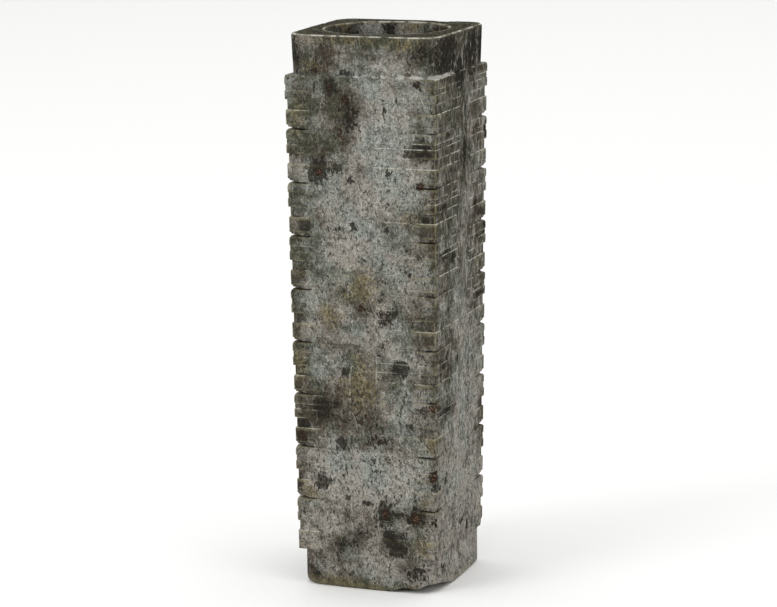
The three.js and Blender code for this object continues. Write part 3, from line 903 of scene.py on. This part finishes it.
class Finish:
    """Short ways to lay one effect over another in a material's node tree."""

    def __init__(self, name):
        self.material = bpy.data.materials.new(name)
        self.material.use_nodes = True
        self.tree = self.material.node_tree
        self.tree.nodes.clear()
        place = put(self.tree, "ShaderNodeTexCoord", {}).outputs["Object"]
        self.place = self.mapped(place, Scale=(1 / MM, 1 / MM, 1 / MM))

    def mapped(self, vector, kind="POINT", **inputs):
        """A pattern's place moved, turned or stretched."""
        inputs["Vector"] = vector
        return put(self.tree, "ShaderNodeMapping", inputs, vector_type=kind).outputs[0]

    def cloud(self, period, detail=3, roughness=0.55, distortion=0.0, shift=0.0, place=None):
        """Noise with a period in millimetres."""
        vector = self.mapped(place or self.place, Location=(shift, 2 * shift, -shift))
        inputs = {"Vector": vector, "Scale": 1 / period, "Detail": detail,
                  "Roughness": roughness, "Distortion": distortion}
        return put(self.tree, "ShaderNodeTexNoise", inputs).outputs[0]

    def strokes(self, turn, thick, long, low, high, detail=1, distortion=0.0):
        """Strokes, by the period across and along them in millimetres."""
        vector = self.mapped(self.place, "TEXTURE", Rotation=turn, Scale=(thick, long, long))
        node = put(self.tree, "ShaderNodeTexNoise", {
            "Vector": vector, "Scale": 1, "Detail": detail, "Distortion": distortion})
        return self.step(node.outputs[0], low, high)

    def lines(self, period, half_thick, shift=0.0):
        """A net of fine lines between cells of a period, in millimetres."""
        vector = self.mapped(self.place, Location=(shift, -shift, 2 * shift))
        node = put(self.tree, "ShaderNodeTexVoronoi", {"Vector": vector, "Scale": 1 / period},
                   feature="DISTANCE_TO_EDGE")
        return self.step(node.outputs["Distance"], half_thick / period, 0.3 * half_thick / period)

    def dots(self, period, radius, place):
        """One dot in each cell of a period, in millimetres."""
        node = put(self.tree, "ShaderNodeTexVoronoi", {"Vector": place, "Scale": 1 / period})
        return self.step(node.outputs["Distance"], radius / period, 0.6 * radius / period)

    def grey(self, value):
        return put(self.tree, "ShaderNodeCombineColor",
                   {"Red": value, "Green": value, "Blue": value}).outputs[0]

    def mark(self, name):
        return put(self.tree, "ShaderNodeAttribute", {}, attribute_name=name).outputs["Fac"]

    def step(self, value, low, high, bottom=0.0, top=1.0):
        """A smooth step from bottom to top as the value goes from low to high."""
        inputs = {"Value": value, "From Min": low, "From Max": high,
                  "To Min": bottom, "To Max": top}
        node = put(self.tree, "ShaderNodeMapRange", inputs, interpolation_type="SMOOTHSTEP")
        return node.outputs[0]

    def maths(self, operation, first, second=0.0):
        inputs = {0: first, 1: second}
        return put(self.tree, "ShaderNodeMath", inputs, operation=operation).outputs[0]

    def blend(self, share, under, over, mode="MIX"):
        """One colour over another. Sockets 6, 7 and out 2 are the mix node's colour ones."""
        inputs = {0: share, 6: under, 7: over}
        node = put(self.tree, "ShaderNodeMix", inputs, data_type="RGBA", blend_type=mode)
        return node.outputs[2]

    def times(self, first, second):
        return self.maths("MULTIPLY", first, second)

    def plus(self, *values):
        total = values[0]
        for value in values[1:]:
            total = self.maths("ADD", total, value)
        return total

    def layer(self, under, share, strength, tint):
        return self.blend(self.times(share, strength), under, tint)


def colour(red, green, blue):
    """A surface colour from the 0 to 255 values of a display."""
    def linear(value):
        value /= 255
        return value / 12.92 if value < 0.04045 else ((value + 0.055) / 1.055) ** 2.4
    return (linear(red), linear(green), linear(blue), 1.0)


def shared_patterns(jade):
    """The patterns and marks that several layers of the stone read."""
    times, plus = jade.times, jade.plus
    shared = SimpleNamespace()
    broad = jade.cloud(26, detail=2)
    shared.cloudy = jade.cloud(9, detail=4, shift=11)
    shared.tinted = jade.cloud(12, detail=3, shift=91)
    shared.mottled = jade.cloud(3.4, detail=4, roughness=0.6, distortion=0.5, shift=23)
    shared.slanted = jade.mapped(jade.place, Rotation=(0.5, 0.6, 0.4), Scale=(1, 1, 0.6))
    shared.speckled = jade.cloud(1.25, detail=3, roughness=0.65, distortion=0.4, shift=37,
                                 place=shared.slanted)
    shared.grainy = jade.cloud(0.75, detail=3, roughness=0.7, shift=53)
    shade = jade.mark("shade")
    shared.pale = jade.mark("pale")
    shared.rubbed = jade.mark("rubbed")
    tone = plus(times(broad, 0.6), times(shared.cloudy, 0.7), times(shared.pale, 0.26),
                times(shade, -0.42), times(shared.mottled, 0.45), times(shared.speckled, 0.55))
    shared.decayed = jade.step(tone, 0.9, 1.38)
    shared.level = put(jade.tree, "ShaderNodeSeparateXYZ", {"Vector": jade.place}).outputs["Z"]
    return shared


def ground_colour(jade, shared):
    """Sound dark stone, powdery decay over it, and earth in its surface."""
    times, plus, layer = jade.times, jade.plus, jade.layer
    low_down = jade.step(shared.level, 90, 10)
    warm = jade.step(plus(shared.tinted, times(low_down, 0.1)), 0.38, 0.64)
    sound = jade.blend(warm, colour(66, 66, 54), colour(62, 54, 45))
    powdery = jade.blend(warm, colour(126, 130, 123), colour(140, 133, 124))
    body = jade.blend(shared.decayed, sound, powdery)
    body = layer(body, times(shared.pale, shared.decayed), 0.2, colour(174, 176, 170))
    patch = jade.step(jade.cloud(4.6, detail=3, distortion=0.6, shift=67), 0.56, 0.7)
    body = layer(body, patch, 0.45, colour(74, 76, 67))
    shared.ragged = plus(times(shared.mottled, 1.4), times(shared.speckled, 1.5), -1.45)
    earth_grain = jade.step(shared.speckled, 0.4, 0.62)
    earthy = jade.blend(earth_grain, colour(86, 76, 50), colour(134, 124, 92))
    earth = jade.step(plus(jade.mark("ochre"), shared.ragged), 0.15, 0.75)
    return layer(body, earth, 0.78, earthy)


def pale_growth(jade, shared, body):
    """Pale felt, flecks and grain, and loose fine threads across them."""
    times, layer = jade.times, jade.layer
    broken = jade.step(jade.cloud(2.2, detail=2, shift=61), 0.44, 0.62)
    shared.powder = jade.plus(times(shared.decayed, 0.6), 0.4)
    felt = times(times(jade.lines(1.9, 0.2), broken), shared.powder)
    body = layer(body, felt, 0.3, colour(176, 176, 170))
    shared.fleck = jade.step(jade.cloud(0.95, detail=2, roughness=0.7, shift=83), 0.58, 0.7)
    body = layer(body, times(shared.fleck, shared.powder), 0.3, colour(170, 170, 163))
    grain = jade.grey(jade.step(shared.grainy, 0.25, 0.75, 0.5, 1.5))
    body = jade.blend(1.0, body, grain, "MULTIPLY")
    falling, rising, upright = (0, -0.34, 0.56), (0, 0.44, 0.59), (0, -0.08, 0.38)
    for turn, long in ((falling, 4.5), (rising, 4), (upright, 7)):
        thread = times(jade.strokes(turn, 0.8, long, 0.62, 0.74), shared.powder)
        body = layer(body, thread, 0.4, colour(186, 186, 180))
    return body


def dark_specks(jade, shared, body):
    """Dark specks, dashes and dots, fainter high up, and dark strokes."""
    times, plus, layer = jade.times, jade.plus, jade.layer
    dense = plus(jade.step(jade.cloud(7, detail=2, shift=97), 0.35, 0.7, -0.04, 0.06),
                 times(shared.pale, 0.03))
    shared.speck = jade.step(plus(shared.speckled, dense), 0.58, 0.63)
    low_share = jade.step(shared.level, 140, 200, 1, 0.62)
    body = layer(body, times(shared.speck, low_share), 0.7, colour(50, 52, 45))
    dashed = jade.step(jade.cloud(6, detail=2, shift=31), 0.42, 0.56)
    for turn, wide, long in (((0.4, -0.5, 0.5), 1.1, 2.4), ((-0.7, -0.15, 0.45), 0.9, 2.2)):
        dash = times(times(jade.strokes(turn, wide, long, 0.64, 0.69), dashed), low_share)
        body = layer(body, dash, 0.85, colour(42, 44, 38))
    dot = times(jade.dots(2.6, 0.5, shared.slanted), jade.step(jade.cloud(8, shift=43), 0.42, 0.56))
    body = layer(body, times(dot, low_share), 0.9, colour(38, 39, 33))
    stroke = times(jade.lines(1.5, 0.16, shift=9), jade.step(shared.mottled, 0.55, 0.44))
    return layer(body, stroke, 0.5, colour(46, 46, 38))


def side_streaks(jade, shared, body):
    """Dark streaks on the side faces, and pale ones over them."""
    times, layer = jade.times, jade.layer
    streaky = times(jade.mark("streaky"), jade.plus(times(shared.pale, -0.5), 1))
    for turn, wide, long in (((0, -0.45, 1.27), 2.2, 5), ((0, 0.1, 1.3), 3, 8)):
        dark_streak = times(jade.strokes(turn, wide, long, 0.5, 0.66, 4, 0.7), streaky)
        body = layer(body, dark_streak, 0.5, colour(42, 38, 32))
    for turn, wide, long in (((0, 0.6, 1.35), 1.7, 5), ((0, -0.3, 1.2), 2, 7),
                             ((0, 0.08, 1.4), 2.3, 12)):
        drawn = jade.strokes(turn, wide, long, 0.54, 0.7, 4, 0.6)
        pale_streak = times(times(drawn, streaky), shared.powder)
        body = layer(body, pale_streak, 0.55, colour(180, 176, 168))
    return body


def stain_and_shade(jade, shared, body, name, tint):
    """A stain, and for the dark mark also painted shade, with a ragged edge over the marked places,
    thinned by the pale flecks.
    """
    edge = jade.step(jade.plus(jade.mark(name), shared.ragged), 0.34, 0.5)
    thinned = jade.times(edge, jade.plus(jade.times(shared.fleck, -0.45), 1))
    return jade.layer(body, thinned, 0.9, tint)


def wear_residue_and_painted_light(jade, shared, body):
    """Polish with a painted highlight on the rubbed edges, the eyes' rings, chalk and painted
    highlight in the lines and on the edges, and painted shade in the saw cuts.
    """
    times, layer = jade.times, jade.layer
    shared.polish = times(shared.rubbed, jade.step(shared.mottled, 0.3, 0.6))
    # The polish colour is partly a painted highlight along the rubbed edges
    body = layer(body, shared.polish, 0.66, colour(134, 126, 92))
    eye = jade.maths("ABSOLUTE", jade.maths("SUBTRACT", jade.mark("eye"), EYE_RADIUS))
    shared.eye_line = times(jade.step(eye, 0.45, 0.1), jade.step(shared.cloudy, 0.45, 0.7))
    body = layer(body, shared.eye_line, 0.4, colour(60, 57, 48))
    held = jade.plus(shared.mottled, times(shared.grainy, 0.4))
    # Chalk in the carved lines, and painted highlight on the ledges, the rims and the channels'
    # edges
    chalk_and_highlight = times(jade.mark("chalk_and_highlight"), jade.step(held, 0.45, 0.78))
    chalk_and_highlight = times(chalk_and_highlight, jade.step(jade.cloud(6, detail=1, shift=71), 0.36, 0.56, 0.35, 1.15))
    body = layer(body, jade.step(chalk_and_highlight, 0.1, 0.8), 0.85, colour(192, 191, 183))
    # Painted shade: dark brown inside the saw cuts and along the joints
    painted_cut_shade = times(jade.mark("painted_cut_shade"), jade.step(shared.speckled, 0.2, 0.5))
    return layer(body, painted_cut_shade, 0.85, colour(38, 33, 28))


def weathered_jade():
    """Grey-green stone with pale decayed and dark sound zones, dark specks, stains, polished edges
    with a painted highlight, chalk and painted highlight in the lines, and painted shade in the
    cuts."""
    jade = Finish("weathered jade")
    times, plus = jade.times, jade.plus
    shared = shared_patterns(jade)
    body = ground_colour(jade, shared)
    body = pale_growth(jade, shared, body)
    body = dark_specks(jade, shared, body)
    body = side_streaks(jade, shared, body)
    # Dark stains, with painted shade at the top collar's left corner and on the rim
    body = stain_and_shade(jade, shared, body, "dark", colour(36, 34, 30))
    body = wear_residue_and_painted_light(jade, shared, body)
    body = stain_and_shade(jade, shared, body, "rust", colour(45, 35, 29))
    glint = times(jade.step(jade.mark("rust"), 0.42, 0.8), jade.step(shared.grainy, 0.54, 0.62))
    body = jade.layer(body, glint, 0.8, colour(164, 126, 98))

    height = plus(times(shared.mottled, 0.3), times(shared.speckled, 0.35),
                  times(shared.grainy, 0.25), times(shared.speck, -0.25),
                  times(shared.eye_line, -0.5))
    bump = put(jade.tree, "ShaderNodeBump",
               {"Strength": 0.7, "Distance": 0.25 * MM, "Height": height})
    roughness = plus(times(shared.decayed, 0.2), times(shared.polish, -0.1), 0.34)
    coat = times(shared.polish, 0.5)
    shader = put(jade.tree, "ShaderNodeBsdfPrincipled", {
        "Base Color": body, "Roughness": roughness, "Normal": bump.outputs[0],
        "Specular IOR Level": 0.0, "Coat Weight": coat, "Coat Roughness": 0.25})
    put(jade.tree, "ShaderNodeOutputMaterial", {"Surface": shader.outputs[0]})
    return jade.material


def make_stone():
    stone = divided_tier()
    stack_tiers(stone)
    carve(stone)
    add_ends(stone)
    fresh = break_off_chips(stone)
    mark_stains(stone, fresh)
    bpy.ops.object.shade_smooth_by_angle(angle=math.radians(CREASE))
    stone.data.materials.clear()
    stone.data.materials.append(weathered_jade())
    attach(stone, "root")
    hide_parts("cong")


def make_floor():
    bpy.ops.object.select_all(action="DESELECT")
    bpy.ops.mesh.primitive_plane_add(size=FLOOR_SIZE, location=(0, 0, 0))
    floor = bpy.context.object
    floor.name = "floor"
    finish = bpy.data.materials.new("pale floor")
    finish.use_nodes = True
    shader = finish.node_tree.nodes["Principled BSDF"]
    shader.inputs["Base Color"].default_value = FLOOR_COLOUR
    shader.inputs["Roughness"].default_value = FLOOR_ROUGHNESS
    floor.data.materials.append(finish)


def softbox(name, place, aim, width, height, power):
    light = bpy.data.lights.new(name, "AREA")
    light.shape = "RECTANGLE"
    light.size = width
    light.size_y = height
    light.energy = power
    lamp = bpy.data.objects.new(name, light)
    lamp.location = place
    lamp.rotation_mode = "QUATERNION"
    lamp.rotation_quaternion = (Vector(aim) - Vector(place)).to_track_quat("-Z", "Y")
    bpy.context.scene.collection.objects.link(lamp)


def make_lights():
    for name, (place, aim, width, height, power) in LIGHTS.items():
        softbox(name, place, aim, width, height, power)
    world = bpy.data.worlds.new("studio")
    world.use_nodes = True
    background = world.node_tree.nodes["Background"]
    background.inputs["Color"].default_value = (1, 1, 1, 1)
    background.inputs["Strength"].default_value = ROOM_LIGHT
    bpy.context.scene.world = world


def make_camera():
    """The camera at the photograph's angle."""
    azimuth, dip, roll = (math.radians(angle) for angle in CAMERA_ANGLES)
    back = Vector((math.sin(azimuth) * math.cos(dip), -math.cos(azimuth) * math.cos(dip),
                   math.sin(dip)))
    right = (-back).cross(Vector((0, 0, 1))).normalized()
    up = right.cross(-back).normalized()
    across = math.cos(roll) * right + math.sin(roll) * up
    upwards = -math.sin(roll) * right + math.cos(roll) * up
    camera = bpy.data.objects.new("camera", bpy.data.cameras.new("camera"))
    camera.data.sensor_width = SENSOR_WIDTH
    camera.data.lens = LENS
    camera.data.shift_x, camera.data.shift_y = CAMERA_SHIFT
    camera.data.clip_end = FARTHEST
    turned = Matrix((across, upwards, back)).transposed().to_4x4()
    camera.matrix_world = Matrix.Translation(CAMERA_PLACE) @ turned
    bpy.context.scene.collection.objects.link(camera)
    bpy.context.scene.camera = camera


make_camera()
make_stone()
make_floor()
make_lights()
bpy.context.scene.view_settings.view_transform = "Standard"
